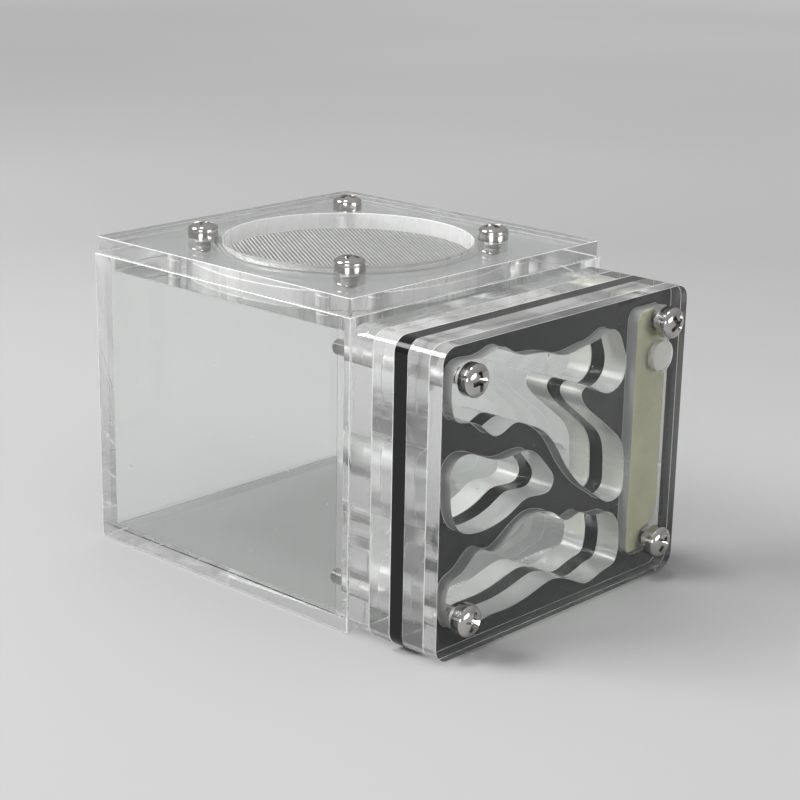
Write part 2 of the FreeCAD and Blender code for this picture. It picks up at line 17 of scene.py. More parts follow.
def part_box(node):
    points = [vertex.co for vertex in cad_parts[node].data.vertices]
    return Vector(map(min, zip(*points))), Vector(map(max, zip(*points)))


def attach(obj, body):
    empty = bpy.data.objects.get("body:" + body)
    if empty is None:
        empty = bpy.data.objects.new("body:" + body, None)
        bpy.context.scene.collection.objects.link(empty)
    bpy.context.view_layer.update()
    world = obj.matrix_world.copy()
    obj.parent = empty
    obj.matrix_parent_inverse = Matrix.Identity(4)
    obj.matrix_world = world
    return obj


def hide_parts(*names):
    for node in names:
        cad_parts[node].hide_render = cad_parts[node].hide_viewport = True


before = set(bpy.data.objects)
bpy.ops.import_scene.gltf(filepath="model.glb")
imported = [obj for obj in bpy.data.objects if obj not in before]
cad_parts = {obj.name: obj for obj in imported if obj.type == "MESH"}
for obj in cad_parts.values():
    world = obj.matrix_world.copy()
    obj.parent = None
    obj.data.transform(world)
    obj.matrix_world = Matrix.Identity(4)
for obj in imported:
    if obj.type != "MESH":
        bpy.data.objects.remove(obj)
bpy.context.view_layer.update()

MM = 0.001
scene = bpy.context.scene

# %% [markdown]
# ## Camera and render paths
#
# The camera stands off the corner where the box and the nest meet, a little above the lid. Light
# that crosses a stack of clear plates meets more than twenty surfaces, so a render with few
# bounces goes black inside it. The limits are raised here, and the bright patterns that bent
# light would throw are left out, because they cost far more time than they show.

# %% Camera
VIEW_TARGET = Vector((-42.59, -45.0, 41.73)) * MM
VIEW_DISTANCE = 336.5 * MM
VIEW_AZIMUTH = math.radians(45.99)
VIEW_ELEVATION = math.radians(17.89)
VIEW_ROLL = math.radians(0.74)
VIEW_LENS = 89.61
VIEW_SHIFT = (0.05, 0.045)

camera = bpy.data.objects.new("camera", bpy.data.cameras.new("camera"))
scene.collection.objects.link(camera)
away = Vector((-math.sin(VIEW_AZIMUTH) * math.cos(VIEW_ELEVATION),
               -math.cos(VIEW_AZIMUTH) * math.cos(VIEW_ELEVATION),
               math.sin(VIEW_ELEVATION)))
camera.location = VIEW_TARGET + away * VIEW_DISTANCE
level = (-away).to_track_quat("-Z", "Y")
camera.rotation_euler = (level @ Quaternion((0, 0, 1), VIEW_ROLL)).to_euler()
camera.data.lens = VIEW_LENS
camera.data.shift_x, camera.data.shift_y = VIEW_SHIFT
camera.data.clip_start, camera.data.clip_end = 0.01, 20
scene.camera = camera
print("camera at, mm:", [round(c / MM, 1) for c in camera.location])

# %% Light paths
scene.view_settings.view_transform = "Standard"
scene.cycles.max_bounces = 32
scene.cycles.transmission_bounces = 32
scene.cycles.glossy_bounces = 16
scene.cycles.transparent_max_bounces = 64
scene.cycles.caustics_reflective = False
scene.cycles.caustics_refractive = False

# %% [markdown]
# ## Helpers for node trees
#
# Every finish below is a small node tree. Writing it out link by link is long and hard to read,
# so one helper adds a node, sets its inputs by name and links what feeds it. Nearly all values
# of a noise lie between 0.3 and 0.7, so that part is what a finish stretches over its range.

# %% Node helpers
def new_material(name):
    """An empty node material: returns it, its tree and its output node."""
    material = bpy.data.materials.new(name)
    material.use_nodes = True
    tree = material.node_tree
    tree.nodes.clear()
    return material, tree, tree.nodes.new("ShaderNodeOutputMaterial")


def node(tree, kind, links=None, inputs=None, **settings):
    """Adds a node, sets its properties and inputs, and links the sockets given."""
    made = tree.nodes.new(kind)
    for name, setting in settings.items():
        setattr(made, name, setting)
    for name, setting in (inputs or {}).items():
        made.inputs[name].default_value = setting
    for name, source in (links or {}).items():
        tree.links.new(source, made.inputs[name])
    return made


# %% Patterns
def noise_on_object(tree, scale, detail=2.0, stretch=(1.0, 1.0, 1.0)):
    """A noise fixed to the object, finer as scale grows. A stretch under 1 draws it out."""
    place = node(tree, "ShaderNodeTexCoord")
    along = node(tree, "ShaderNodeMapping", {"Vector": place.outputs["Object"]},
                 {"Scale": stretch})
    return node(tree, "ShaderNodeTexNoise", {"Vector": along.outputs["Vector"]},
                {"Scale": scale, "Detail": detail}).outputs["Fac"]


MOST_OF_NOISE = (0.3, 0.7)


def remap(tree, source, low, high, to_low, to_high):
    """Stretches the part of a pattern between low and high over a new range."""
    inputs = {"From Min": low, "From Max": high, "To Min": to_low, "To Max": to_high}
    return node(tree, "ShaderNodeMapRange", {"Value": source}, inputs).outputs["Result"]


def bump(tree, height, strength, depth):
    """Turns a pattern into dents and ridges of a real depth."""
    return node(tree, "ShaderNodeBump", {"Height": height},
                {"Strength": strength, "Distance": depth}).outputs["Normal"]


def grey(level):
    """An opaque colour without a hue."""
    return (level, level, level, 1.0)


# %% [markdown]
# ## The studio
#
# Clear plastic has no colour of its own: it shows what stands around it. The floor is plain and
# pale, and a dome of soft light is brighter overhead than at the horizon, so that bent and
# mirrored rays come back in different greys and draw each edge. The floor is a real surface, so
# the plates mirror it and it keeps their shadow. Lamps fade with distance, so its grey gets paler
# outwards, to make an even backdrop.

# %% Floor
FLOOR_DROP = 0.2 * MM
FLOOR_RADIUS = 3.0
FLOOR_SIDES = 96
FLOOR_GREY, BACKDROP_GREY = 0.46, 0.95
PALER_FROM, PALER_TO = 0.3, 1.2
CLOUDINESS = 0.03


def make_floor():
    """A round floor that turns paler outwards. It isn't part of the object."""
    material, tree, output = new_material("studio_floor")
    clouds = noise_on_object(tree, scale=3.0)
    cloudy = remap(tree, clouds, *MOST_OF_NOISE, 1 - CLOUDINESS, 1 + CLOUDINESS)
    place = node(tree, "ShaderNodeTexCoord")
    away = node(tree, "ShaderNodeVectorMath", {0: place.outputs["Object"]}, operation="LENGTH")
    paler = remap(tree, away.outputs["Value"], PALER_FROM, PALER_TO, FLOOR_GREY, BACKDROP_GREY)
    level = node(tree, "ShaderNodeMath", {0: cloudy, 1: paler}, operation="MULTIPLY")
    surface = node(tree, "ShaderNodeBsdfDiffuse", {"Color": level.outputs[0]})
    tree.links.new(surface.outputs[0], output.inputs["Surface"])
    bm = bmesh.new()
    bmesh.ops.create_circle(bm, cap_ends=True, segments=FLOOR_SIDES, radius=FLOOR_RADIUS)
    bmesh.ops.translate(bm, verts=bm.verts, vec=(0, 0, -FLOOR_DROP))
    mesh = bpy.data.meshes.new("studio_floor")
    bm.to_mesh(mesh)
    bm.free()
    mesh.materials.append(material)
    floor = bpy.data.objects.new("studio_floor", mesh)
    scene.collection.objects.link(floor)
    print("floor radius, m:", FLOOR_RADIUS)


make_floor()

# %% Sky dome
HORIZON_GREY, ZENITH_GREY = 0.36, 0.55


def make_sky():
    """A world that is one soft lamp all round, graded by height."""
    world = bpy.data.worlds.new("studio_sky")
    world.use_nodes = True
    tree = world.node_tree
    tree.nodes.clear()
    place = node(tree, "ShaderNodeTexCoord")
    height = node(tree, "ShaderNodeSeparateXYZ", {"Vector": place.outputs["Generated"]})
    ramp = node(tree, "ShaderNodeValToRGB", {"Fac": height.outputs["Z"]})
    low, high = ramp.color_ramp.elements
    low.position, low.color = 0.1, grey(HORIZON_GREY)
    high.position, high.color = 0.9, grey(ZENITH_GREY)
    light = node(tree, "ShaderNodeBackground", {"Color": ramp.outputs["Color"]})
    node(tree, "ShaderNodeOutputWorld", {"Surface": light.outputs[0]})
    scene.world = world


make_sky()

# %% [markdown]
# Four soft boxes light the set. The key stands behind the box on the left, so the nest's shadow
# falls in front of it and its dark window mirrors a darker floor. A small bright box overhead
# gives the steel heads their sharp glints. The other two stand low and far off, in front and on
# the left: they reach the upright sponge, the screws and the chambers' walls, but hardly the
# floor. Rays that pass through the plates don't see these two, because the stack would mirror
# them as white sheets in a level view. Grids on the boxes narrow their beams, so that the floor
# is lit evenly and doesn't clip below them.

# %% Soft boxes
AIM = Vector((0.0, -0.01, 0.03))


def soft_box(name, place, size, watts, spread, through_plates=True):
    """A rectangular area lamp that faces the object, out of the camera's sight."""
    lamp = bpy.data.lights.new(name, "AREA")
    lamp.shape = "RECTANGLE"
    lamp.size, lamp.size_y = size
    lamp.energy = watts
    lamp.spread = math.radians(spread)
    holder = bpy.data.objects.new(name, lamp)
    holder.visible_camera = False
    holder.visible_transmission = through_plates
    holder.location = place
    holder.rotation_euler = (AIM - Vector(place)).to_track_quat("-Z", "Y").to_euler()
    scene.collection.objects.link(holder)
    print(name, watts, "W")


soft_box("key_soft_box", (-0.50, 0.45, 0.62), (0.40, 0.40), watts=2.4, spread=100)
soft_box("top_soft_box", (-0.12, 0.05, 0.80), (0.14, 0.14), watts=2.0, spread=180)
soft_box("front_soft_box", (0.15, -1.20, 0.17), (1.20, 0.30), watts=0.50, spread=40,
         through_plates=False)
soft_box("left_soft_box", (-1.05, -0.55, 0.20), (0.60, 0.30), watts=0.25, spread=40,
         through_plates=False)

# %% [markdown]
# ## Clear acrylic
#
# Cast acrylic bends light with an index of 1.49. Its faces leave the factory polished, and pick
# up faint smears and dust. A laser cuts the outlines and leaves edges that are glossy but ribbed
# through the thickness, and a little milky. The insides of the chambers are silkier still, the
# vent was cut hotter and is whitest, and each rim has a frosted lip where the sheet melted. One
# function makes all these, from glossy to frosted.
#
# The plates in front of the black one mirror less than real ones would: their faces add up, and
# a pale floor mirrored in all of them would hide how black it is. For lamps, a transparent
# shader stands in, so that they reach what is inside: that costs no bounces and keeps the
# picture clean.

# %% Clear acrylic
ACRYLIC_INDEX = 1.49
FULL_MIRROR, EDGE_MIRROR, WINDOW_MIRROR = 1.0, 0.5, 0.05
SHADOW_TINT = (0.95, 0.955, 0.95, 1.0)
SHEET_TINT = (0.97, 0.98, 0.975, 1.0)
SMEAR_ROUGHNESS, DUST_ROUGHNESS = 0.035, 0.5


def let_lamps_through(tree, shader, output):
    """Rays from lamps pass the surface straight and a little dimmed."""
    path = node(tree, "ShaderNodeLightPath")
    straight = node(tree, "ShaderNodeBsdfTransparent", inputs={"Color": SHADOW_TINT})
    mix = node(tree, "ShaderNodeMixShader",
               {0: path.outputs["Is Shadow Ray"], 1: shader.outputs[0], 2: straight.outputs[0]})
    tree.links.new(mix.outputs[0], output.inputs["Surface"])


def polished_acrylic(name, mirror):
    """Sheet faces: nearly perfect, with smears from wiping and sparse dust."""
    material, tree, output = new_material(name)
    wiped = noise_on_object(tree, scale=70.0, detail=3.0)
    smears = remap(tree, wiped, 0.5, 0.8, 0.0, SMEAR_ROUGHNESS)
    specks = noise_on_object(tree, scale=900.0, detail=1.0)
    dust = remap(tree, specks, 0.80, 0.84, 0.0, DUST_ROUGHNESS)
    rough = node(tree, "ShaderNodeMath", {0: smears, 1: dust}, operation="MAXIMUM")
    shader = node(tree, "ShaderNodeBsdfPrincipled", {"Roughness": rough.outputs[0]},
                  {"Base Color": SHEET_TINT, "IOR": ACRYLIC_INDEX,
                   "Transmission Weight": 1.0, "Specular Tint": grey(mirror)})
    let_lamps_through(tree, shader, output)
    return material


CLEAR_FACE = polished_acrylic("clear_acrylic_face", FULL_MIRROR)
CLEAR_WINDOW = polished_acrylic("clear_acrylic_window", WINDOW_MIRROR)

# %% Laser-cut acrylic
RIB_STRETCH, RIB_STRENGTH, RIB_DEPTH = 0.035, 0.5, 0.03 * MM
CUT_GREY, PALE_CUT_GREY = 0.93, 0.97


def cut_acrylic(name, axis, clearness, roughness, level=CUT_GREY):
    """Laser-cut edges: fine ribs run straight through the sheet, along axis."""
    material, tree, output = new_material(name)
    stretch = [1.0, 1.0, 1.0]
    stretch["XYZ".index(axis)] = RIB_STRETCH
    fine = noise_on_object(tree, scale=2100.0, stretch=stretch)
    broad = noise_on_object(tree, scale=330.0, detail=1.0, stretch=stretch)
    ribs = node(tree, "ShaderNodeMath", {0: fine, 1: broad}, operation="ADD").outputs[0]
    rough = remap(tree, broad, *MOST_OF_NOISE, roughness * 0.6, roughness * 1.4)
    shader = node(tree, "ShaderNodeBsdfPrincipled",
                  {"Roughness": rough, "Normal": bump(tree, ribs, RIB_STRENGTH, RIB_DEPTH)},
                  {"Base Color": grey(level), "IOR": ACRYLIC_INDEX,
                   "Transmission Weight": clearness})
    let_lamps_through(tree, shader, output)
    return material


CLEAR_EDGE = {axis: cut_acrylic(f"clear_acrylic_edge_{axis}", axis,
                                clearness=0.93, roughness=0.06)
              for axis in "XYZ"}
CLEAR_CUTOUT = {axis: cut_acrylic(f"clear_acrylic_cutout_{axis}", axis,
                                  clearness=0.55, roughness=0.20, level=PALE_CUT_GREY)
                for axis in "XYZ"}
VENT_WALL = cut_acrylic("clear_acrylic_vent_wall", "Z",
                        clearness=0.50, roughness=0.30, level=PALE_CUT_GREY)
CLEAR_LIP = cut_acrylic("clear_acrylic_lip", "Z",
                        clearness=0.10, roughness=0.35, level=PALE_CUT_GREY)

# %% Cemented joint
CLEAR_JOINT_GREY, HAZY_JOINT_GREY = 0.97, 0.90
UNBENT_INDEX = 1.0


def cemented_acrylic():
    """A joint filled by the solvent: light goes straight through, and only a faint haze shows."""
    material, tree, output = new_material("clear_acrylic_joint")
    patches = noise_on_object(tree, scale=400.0, detail=3.0)
    haze = remap(tree, patches, 0.55, 0.75, CLEAR_JOINT_GREY, HAZY_JOINT_GREY)
    shader = node(tree, "ShaderNodeBsdfPrincipled", {"Base Color": haze},
                  {"Roughness": 0.0, "IOR": UNBENT_INDEX, "Transmission Weight": 1.0})
    let_lamps_through(tree, shader, output)
    return material


CLEAR_JOINT = cemented_acrylic()
for finish in (CLEAR_FACE, CLEAR_WINDOW, *CLEAR_EDGE.values(), *CLEAR_CUTOUT.values(), VENT_WALL,
               CLEAR_LIP, CLEAR_JOINT):
    print(finish.name, len(finish.node_tree.nodes), "nodes")

# %% [markdown]
# ## Black acrylic
#
# The middle plate of the nest is the same sheet dyed black. Its faces are a black mirror, and
# its cut edges show the laser's ribs as fine bright lines. The clear finish with a dark colour
# would still let light through a sheet this thin, so this one doesn't transmit at all.

# %% Black acrylic
BLACK = (0.006, 0.006, 0.0065, 1.0)
RIPPLE_DEPTH = 0.01 * MM


def black_acrylic(name, ribbed, roughness):
    """Black sheet: the ribs of a cut edge, or a face with broad faint ripples."""
    material, tree, output = new_material(name)
    wiped = noise_on_object(tree, scale=90.0, detail=3.0)
    smears = remap(tree, wiped, 0.4, 0.8, roughness, roughness * 2)
    stretch = (1.0, RIB_STRETCH, 1.0) if ribbed else (1.0, 1.0, 1.0)
    relief = noise_on_object(tree, scale=1500.0 if ribbed else 40.0, stretch=stretch)
    depth = RIB_DEPTH if ribbed else RIPPLE_DEPTH
    shader = node(tree, "ShaderNodeBsdfPrincipled",
                  {"Roughness": smears, "Normal": bump(tree, relief, RIB_STRENGTH, depth)},
                  {"Base Color": BLACK, "IOR": ACRYLIC_INDEX,
                   "Specular Tint": grey(EDGE_MIRROR if ribbed else WINDOW_MIRROR)})
    tree.links.new(shader.outputs[0], output.inputs["Surface"])
    return material


BLACK_FACE = black_acrylic("black_acrylic_face", ribbed=False, roughness=0.03)
BLACK_EDGE = black_acrylic("black_acrylic_edge", ribbed=True, roughness=0.12)

# %% [markdown]
# ## Plates
#
# Each plate is a sheet with straight edges. It could be drawn again from a rectangle, but the
# frame's mesh already has every hole in its place, so the plate starts as a copy of that. The
# copy's loose triangles are merged and flat ones joined. The faces are then sorted:
# polished sheet by the way they point, outer edge or cutout by how far they lie inside the
# outline. A Bevel modifier gives each sharp edge its narrow lip, and that thin line is what
# catches the light. The five plates of the box are cemented with solvent. Where one seats on
# another, its face is cut along the border of the joint, and that part lets light through unbent.

# %% Mesh helpers
MERGE_DISTANCE, CUT_TOLERANCE = 0.0005 * MM, 0.001 * MM
FLAT_ANGLE = math.radians(0.4)
SHARP_ANGLE = math.radians(35)


def merged_copy(cad_node):
    """A clean bmesh of a CAD node: merged, with flat triangles joined."""
    bm = bmesh.new()
    bm.from_mesh(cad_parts[cad_node].data)
    bmesh.ops.remove_doubles(bm, verts=bm.verts, dist=MERGE_DISTANCE)
    bmesh.ops.dissolve_limit(bm, angle_limit=FLAT_ANGLE, verts=bm.verts, edges=bm.edges)
    return bm


def cut_faces(bm, faces, point, normal):
    """Splits these faces, and no others, where a plane crosses them."""
    geom = faces + list({part for face in faces for part in (*face.edges, *face.verts)})
    bmesh.ops.bisect_plane(bm, geom=geom, dist=CUT_TOLERANCE, plane_co=point, plane_no=normal)


def smooth_between_sharp_edges(bm):
    """Shades curved faces smooth and keeps the corners crisp."""
    for face in bm.faces:
        face.smooth = True
    for edge in bm.edges:
        edge.smooth = edge.calc_face_angle(0) < SHARP_ANGLE


# %% Piece helpers
def finish_piece(bm, name, body, materials, replaced):
    """Makes the bmesh a piece that rides on a body and takes the finish of a slot."""
    mesh = bpy.data.meshes.new(name)
    bm.to_mesh(mesh)
    bm.free()
    for material in materials:
        mesh.materials.append(material)
    piece = bpy.data.objects.new(name, mesh)
    scene.collection.objects.link(piece)
    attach(piece, body)
    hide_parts(*replaced)
    return piece


def break_edges(piece, width, material=-1, limit="ANGLE"):
    """A narrow bevel on the sharp edges, or on those with a weight."""
    bevel = piece.modifiers.new("broken_edges", "BEVEL")
    bevel.width = width
    bevel.segments = 2
    bevel.material = material
    bevel.limit_method = limit
    bevel.angle_limit = SHARP_ANGLE
    bevel.harden_normals = True


# %% Outline
def depth_inside(point, low, high, axis, corner):
    """How far a point lies inside a plate's rounded outline, seen along its thickness."""
    outside = []
    for other in {0, 1, 2} - {"XYZ".index(axis)}:
        half = (high[other] - low[other]) / 2
        outside.append(abs(point[other] - (low[other] + high[other]) / 2) - half + corner)
    beyond = math.hypot(*(max(reach, 0) for reach in outside))
    return corner - beyond - min(max(outside), 0)


# %% Seated joints
FACE, EDGE, CUTOUT, LIP, JOINT = range(5)
FACING = 0.7
SEAT_GAP, SEAT_TOLERANCE = 0.06 * MM, 0.01 * MM


def mark_joint(bm, axis, place, low, high):
    """Cuts the faces at a seated joint along its borders, and marks the part inside them."""
    def seat():
        return [face for face in bm.faces if abs(face.normal[axis]) > FACING
                and abs(face.calc_center_median()[axis] - place) < SEAT_TOLERANCE]
    others = {0, 1, 2} - {axis}
    for other in others:
        across = Vector([float(other == index) for index in range(3)])
        for border in (low[other], high[other]):
            cut_faces(bm, seat(), across * border, across)
    for face in seat():
        middle = face.calc_center_median()
        if all(low[other] < middle[other] < high[other] for other in others):
            face.material_index = JOINT


def joints_of(cad_node, neighbours):
    """Where a plate seats on its neighbours: the axis across, the place along it, the extent."""
    low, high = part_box(cad_node)
    found = []
    for near_low, near_high in map(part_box, neighbours):
        shared_low = [max(pair) for pair in zip(low, near_low)]
        shared_high = [min(pair) for pair in zip(high, near_high)]
        for axis in range(3):
            gap = shared_low[axis] - shared_high[axis]
            if 0 < gap < SEAT_GAP:
                place = high[axis] if near_low[axis] > low[axis] else low[axis]
                found.append((axis, place, shared_low, shared_high))
    return found


# %% Plate
OUTLINE_DEPTH = 0.15 * MM
EDGE_BREAK, NEST_EDGE_BREAK = 0.16 * MM, 0.3 * MM


def plate(cad_node, body, axis, finishes, corner=0.0,
          edge_break=EDGE_BREAK, cemented_to=()):
    """A sheet whose thickness runs along axis. finishes: face, outer edge, cutout, lip, joint."""
    bm = merged_copy(cad_node)
    low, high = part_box(cad_node)
    for face in bm.faces:
        if abs(face.normal["XYZ".index(axis)]) > FACING:
            face.material_index = FACE
            continue
        depth = depth_inside(face.calc_center_median(), low, high, axis, corner)
        face.material_index = EDGE if depth < OUTLINE_DEPTH else CUTOUT
    for joint in joints_of(cad_node, cemented_to):
        mark_joint(bm, *joint)
    smooth_between_sharp_edges(bm)
    weight = bm.edges.layers.float.new("bevel_weight_edge")
    for edge in bm.edges:
        cemented = any(face.material_index == JOINT for face in edge.link_faces)
        edge[weight] = float(not edge.smooth and not cemented)
    piece = finish_piece(bm, cad_node + "_sheet", body, finishes, [cad_node])
    break_edges(piece, edge_break, LIP, "WEIGHT")
    print(piece.name, len(piece.data.polygons), "faces before the bevel")
    return piece


# %% Box
BOX_PLATES = {"floor_plate": "Z", "left_wall": "X", "right_wall": "X", "back_wall": "Y",
              "front_wall": "Y"}
for part_name, axis in BOX_PLATES.items():
    plate(part_name, "box", axis,
          [CLEAR_FACE, CLEAR_EDGE[axis], CLEAR_CUTOUT[axis], CLEAR_LIP, CLEAR_JOINT],
          cemented_to=[other for other in BOX_PLATES if other != part_name])

# %% Lid
LID_CORNER = 0.8 * MM
for part_name in ("lid_top_plate", "lid_inner_plate"):
    plate(part_name, "lid", "Z", [CLEAR_FACE, CLEAR_EDGE["Z"], VENT_WALL, CLEAR_LIP],
          corner=LID_CORNER)

# %% Nest plates
NEST_PLATES = {"nest_back_plate": ("box", CLEAR_FACE), "rear_chamber_plate": ("box", CLEAR_FACE),
               "front_chamber_plate": ("box", CLEAR_WINDOW),
               "nest_cover": ("nest_front", CLEAR_WINDOW)}
NEST_CORNER = 3.0 * MM
for part_name, (body, face_finish) in NEST_PLATES.items():
    plate(part_name, body, "Y", [face_finish, CLEAR_EDGE["Y"], CLEAR_CUTOUT["Y"], CLEAR_LIP],
          corner=NEST_CORNER, edge_break=NEST_EDGE_BREAK)
plate("black_chamber_plate", "box", "Y", [BLACK_FACE, BLACK_EDGE, BLACK_EDGE, BLACK_EDGE],
      corner=NEST_CORNER)

# %% [markdown]
# ## Steel screws
#
# The screws are M3 machine screws with pan heads and a cross recess. The head is a profile spun
# round the axis. A boolean could cut the recess, but it leaves slivers where it meets the dome.
# So it is cut the way a knife would: planes split the dome along the outline of the cross, and
# the faces inside it are extruded down and drawn together. The thread is one pitch of its
# profile, spun with a step down at each turn, then cut to length.

# %% Polished steel
STEEL_COLOUR = (0.52, 0.51, 0.49, 1.0)
STEEL_BRIGHT, STEEL_WORN = 0.05, 0.16
SCRATCH_DEPTH = 0.01 * MM


def polished_steel():
    """Steel with worn patches and fine scratches that run mostly one way."""
    material, tree, output = new_material("polished_steel")
    handled = noise_on_object(tree, scale=800.0, detail=4.0)
    wear = remap(tree, handled, 0.35, 0.75, STEEL_BRIGHT, STEEL_WORN)
    scratches = noise_on_object(tree, scale=2500.0, stretch=(1.0, 0.15, 0.6))
    shader = node(tree, "ShaderNodeBsdfPrincipled",
                  {"Roughness": wear,
                   "Normal": bump(tree, scratches, strength=0.25, depth=SCRATCH_DEPTH)},
                  {"Base Color": STEEL_COLOUR, "Metallic": 1.0})
    tree.links.new(shader.outputs[0], output.inputs["Surface"])
    return material


STEEL = polished_steel()

# %% Pan head
HEAD_RADIUS, HEAD_HEIGHT, HEAD_SIDE = 3.0 * MM, 3.0 * MM, 1.8 * MM
HEAD_CHAMFER = 0.12 * MM
DOME_STEPS = 9
HEAD_STEPS = 48
WELD_DISTANCE = 0.002 * MM


def chain(bm, points):
    """Vertices joined by edges, as a profile for spin. Returns them all."""
    verts = [bm.verts.new(point) for point in points]
    return verts + [bm.edges.new(pair) for pair in zip(verts, verts[1:])]


def pan_head(bm):
    """A pan head that stands on z = 0, still without its recess."""
    profile = []
    for step in range(DOME_STEPS + 1):
        turn = step / DOME_STEPS * math.pi / 2
        profile.append((HEAD_RADIUS * math.sin(turn), 0,
                        HEAD_SIDE + (HEAD_HEIGHT - HEAD_SIDE) * math.cos(turn)))
    profile += [(HEAD_RADIUS, 0, HEAD_CHAMFER), (HEAD_RADIUS - HEAD_CHAMFER, 0, 0), (0, 0, 0)]
    bmesh.ops.spin(bm, geom=chain(bm, profile), cent=(0, 0, 0), axis=(0, 0, 1), dvec=(0, 0, 0),
                   angle=2 * math.pi, steps=HEAD_STEPS, use_merge=True)
    bmesh.ops.remove_doubles(bm, verts=bm.verts, dist=WELD_DISTANCE)
    bmesh.ops.recalc_face_normals(bm, faces=bm.faces)


# %% Cross recess
RECESS_SPAN, RECESS_WIDTH, RECESS_DEPTH = 3.7 * MM, 0.9 * MM, 1.7 * MM
RECESS_TAPER, RECESS_FLOOR_SLOPE = 0.62, 0.25


def in_cross(point):
    """Whether a point of the dome lies inside the outline of the cross."""
    near, far = sorted((abs(point.x), abs(point.y)))
    return near < RECESS_WIDTH / 2 and far < RECESS_SPAN / 2 and point.z > HEAD_SIDE


def cut_recess(bm):
    """Cuts the outline of the cross, pushes it down and draws its floor together."""
    for axis in (Vector((1, 0, 0)), Vector((0, 1, 0))):
        for offset in (RECESS_WIDTH / 2, RECESS_SPAN / 2):
            for side in (-1, 1):
                dome = [face for face in bm.faces if face.calc_center_median().z > HEAD_SIDE]
                cut_faces(bm, dome, axis * side * offset, axis)
    cross = [face for face in bm.faces if in_cross(face.calc_center_median())]
    sunk = bmesh.ops.extrude_face_region(bm, geom=cross)["geom"]
    bmesh.ops.delete(bm, geom=cross, context="FACES")
    floor = [part for part in sunk if isinstance(part, bmesh.types.BMVert)]
    for vert in floor:
        vert.co.x *= RECESS_TAPER
        vert.co.y *= RECESS_TAPER
        rise = RECESS_FLOOR_SLOPE * math.hypot(vert.co.x, vert.co.y)
        vert.co.z = HEAD_HEIGHT - RECESS_DEPTH + rise


# %% Thread
THREAD_PITCH = 0.5 * MM
CREST_RADIUS, ROOT_RADIUS = 1.49 * MM, 1.20 * MM
THREAD_PROFILE = ((ROOT_RADIUS, 0.0), (CREST_RADIUS, 0.4), (CREST_RADIUS, 0.52),
                  (ROOT_RADIUS, 0.92), (ROOT_RADIUS, 1.0))
TURN_STEPS = 20
SPARE_TURNS = 3
SHANK_TOP = 0.3 * MM
TIP_TAPER, TIP_NARROWING = 0.45 * MM, 0.22


def threaded_shank(bm, length):
    """A thread from just inside the head down to z = -length, closed at both ends."""
    turns = math.ceil(length / THREAD_PITCH) + SPARE_TURNS
    top = 2 * THREAD_PITCH
    profile = [(radius, 0, top - share * THREAD_PITCH) for radius, share in THREAD_PROFILE]
    bmesh.ops.spin(bm, geom=chain(bm, profile), cent=(0, 0, 0), axis=(0, 0, 1),
                   dvec=(0, 0, -THREAD_PITCH / TURN_STEPS), angle=2 * math.pi * turns,
                   steps=TURN_STEPS * turns)
    bmesh.ops.remove_doubles(bm, verts=bm.verts, dist=WELD_DISTANCE)
    for height, side in ((SHANK_TOP, 1), (-length, -1)):
        geom = [*bm.verts, *bm.edges, *bm.faces]
        cut = bmesh.ops.bisect_plane(bm, geom=geom, dist=MERGE_DISTANCE, plane_co=(0, 0, height),
                                     plane_no=(0, 0, side), clear_outer=True)["geom_cut"]
        rim = [part for part in cut if isinstance(part, bmesh.types.BMEdge)]
        bmesh.ops.edgeloop_fill(bm, edges=rim)
    for vert in bm.verts:
        taper = max(0.0, 1 - (vert.co.z + length) / TIP_TAPER)
        vert.co.x *= 1 - TIP_NARROWING * taper
        vert.co.y *= 1 - TIP_NARROWING * taper
    bmesh.ops.recalc_face_normals(bm, faces=bm.faces)


# %% Screws
def screw(cad_node, body, length, turn):
    """A screw where the frame has it: turn lays the upright one along its axis."""
    head = bmesh.new()
    pan_head(head)
    cut_recess(head)
    shank = bmesh.new()
    threaded_shank(shank, length)
    shank_mesh = bpy.data.meshes.new("shank")
    shank.to_mesh(shank_mesh)
    shank.free()
    head.from_mesh(shank_mesh)
    bpy.data.meshes.remove(shank_mesh)
    low, high = (Vector(corner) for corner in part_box(cad_node))
    middle = (low + high) / 2
    along = turn @ Vector((0, 0, 1))
    reach = abs((high - low).dot(along)) / 2
    bearing = middle + along * (reach - HEAD_HEIGHT)
    bmesh.ops.transform(head, matrix=Matrix.Translation(bearing) @ turn, verts=head.verts)
    smooth_between_sharp_edges(head)
    piece = finish_piece(head, cad_node + "_steel", body, [STEEL], [cad_node])
    print(piece.name, len(piece.data.polygons), "faces")


LID_SCREW_LENGTH, NEST_SCREW_LENGTH = 8.0 * MM, 30.0 * MM
LID_SCREW_TURNS = {"front_left": 20, "front_right": 65, "back_left": 40, "back_right": 5}
NEST_SCREW_TURNS = {"top_left": 8, "top_right": 38, "bottom_left": 70, "bottom_right": 55}
for spot, degrees in LID_SCREW_TURNS.items():
    turned = Matrix.Rotation(math.radians(degrees), 4, "Z")
    screw("lid_screw_" + spot, "lid", LID_SCREW_LENGTH, turned)
for spot, degrees in NEST_SCREW_TURNS.items():
    turned = Matrix.Rotation(math.radians(degrees), 4, "Z")
    laid = Matrix.Rotation(math.radians(90), 4, "X") @ turned
    screw("nest_screw_" + spot, f"nest_screw_{spot}_body", NEST_SCREW_LENGTH, laid)

# %% [markdown]
# ## Woven vent mesh
#
# The vent is closed by a disc of plain woven steel wire, clamped between the two lid plates. A
# pattern on a flat disc would look woven from afar, but light has to fall between the wires, so
# each one is modelled. In a plain weave a wire goes over one crossing wire and under the next,
# so its height is a cosine along its length. It starts as a four-sided rod, is cut and bent.
# The two directions are separate pieces, to keep each mesh light, and the disc lies a little
# turned in its seat, as a cut disc does.

# %% Wire finish
WIRE_COLOUR = (0.46, 0.46, 0.45, 1.0)
WIRE_BRIGHT, WIRE_DULL = 0.38, 0.55
DRAWN_DEPTH = 0.005 * MM


